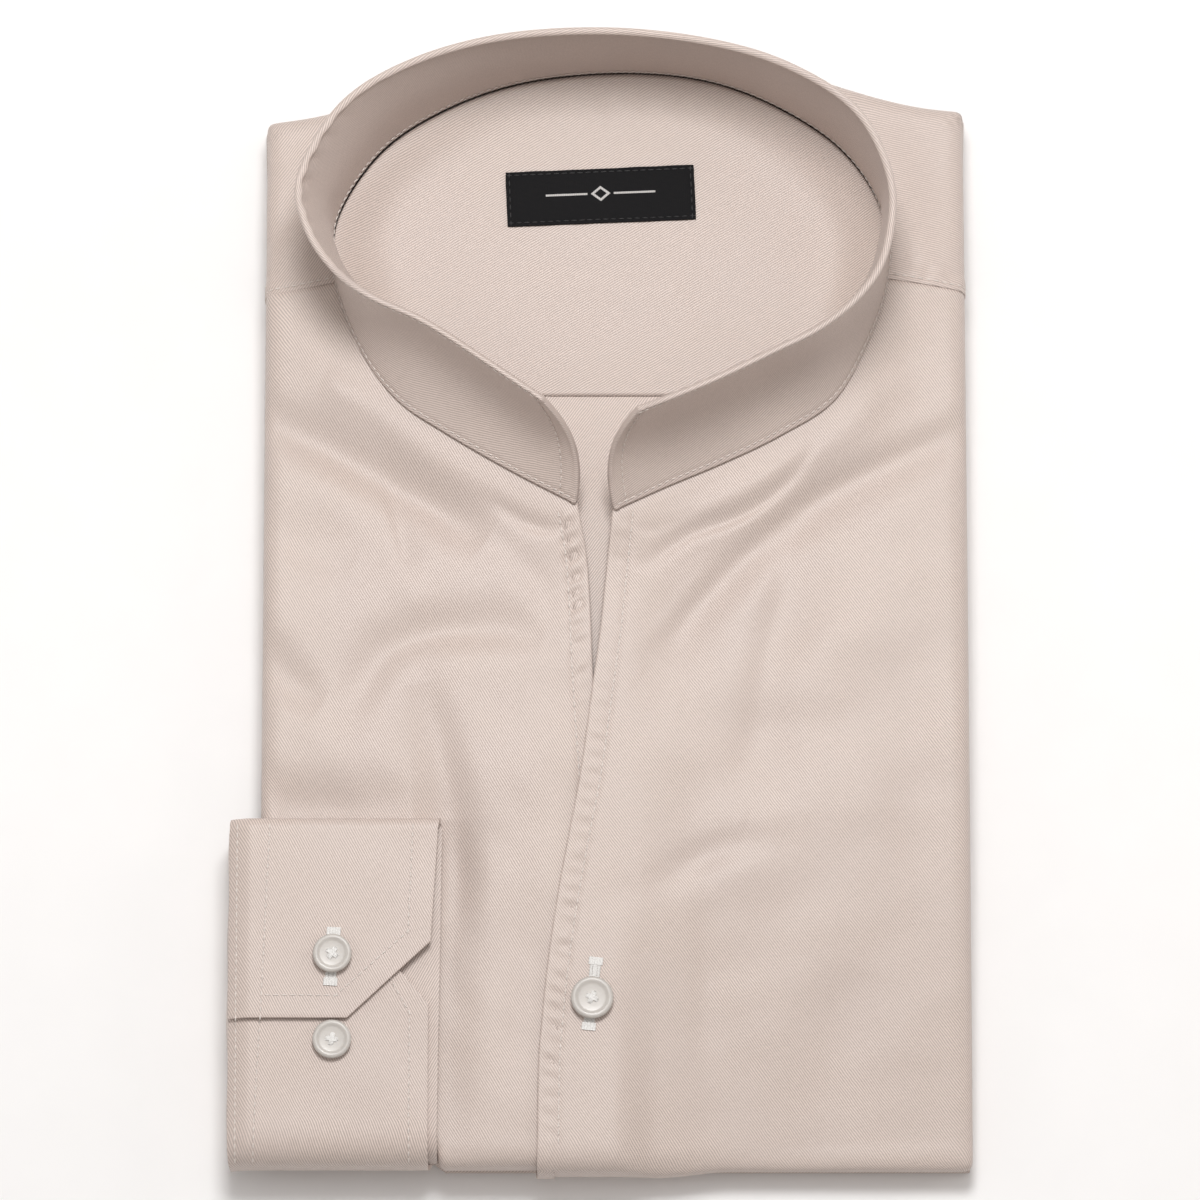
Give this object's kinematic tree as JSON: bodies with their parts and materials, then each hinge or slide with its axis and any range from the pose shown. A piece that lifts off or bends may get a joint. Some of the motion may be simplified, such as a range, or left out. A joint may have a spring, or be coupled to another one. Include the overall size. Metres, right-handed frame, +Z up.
{
  "type": "folded long-sleeved shirt with a tulip collar",
  "caption": "Beige twill shirt folded flat for display, its stand-up tulip collar held in an open ring and one cuff brought round to the front.",
  "frame": {"origin": "centre of the shirt's box on the surface that it lies on", "axes": "+Z up out of the surface, +Y from the hem fold to the collar, +X to the side whose front lies on top"},
  "size_m": [0.1987, 0.3115, 0.0606],
  "materials": {
    "twill": "fine champagne beige twill with a soft sheen",
    "label": "black woven tape",
    "button": "pale, slightly milky, polished"
  },
  "bodies": {
    "root": {"front_left": "twill", "front_right": "twill", "yoke": "twill", "yoke_lining": "twill", "back_panel": "twill", "collar": "twill", "cuff": "twill", "sleeve": "twill", "folded_layers": "twill", "label": "label", "button_front": "button", "button_cuff_upper": "button", "button_cuff_lower": "button"}
  },
  "joints": []
}
